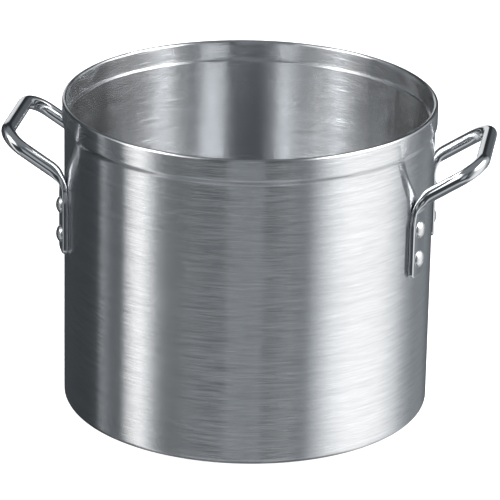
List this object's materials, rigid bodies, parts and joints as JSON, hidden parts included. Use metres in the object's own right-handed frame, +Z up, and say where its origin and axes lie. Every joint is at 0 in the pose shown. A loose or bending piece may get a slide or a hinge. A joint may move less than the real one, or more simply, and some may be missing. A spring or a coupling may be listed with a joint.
{
  "type": "stock pot",
  "caption": "Tall open cylindrical aluminium cooking pot with a stepped band under its rounded rim and riveted chrome-plated loop handles.",
  "frame": {"origin": "centre of the underside of the floor", "axes": "+Z up along the pot's axis, +X towards the right handle, -X towards the left handle, -Y towards the front"},
  "size_m": [0.412, 0.3156, 0.268],
  "materials": {
    "brushed_aluminium": "turned and brushed round the pot, satin",
    "chrome_plate": "bright polished plating",
    "rivet_aluminium": "smooth, slightly dulled"
  },
  "bodies": {
    "root": {"pot_body": "brushed_aluminium", "handle_right": "chrome_plate", "handle_left": "chrome_plate", "rivet_right_front_upper": "rivet_aluminium", "rivet_right_front_lower": "rivet_aluminium", "rivet_right_rear_upper": "rivet_aluminium", "rivet_right_rear_lower": "rivet_aluminium", "rivet_left_front_upper": "rivet_aluminium", "rivet_left_front_lower": "rivet_aluminium", "rivet_left_rear_upper": "rivet_aluminium", "rivet_left_rear_lower": "rivet_aluminium"}
  },
  "joints": []
}
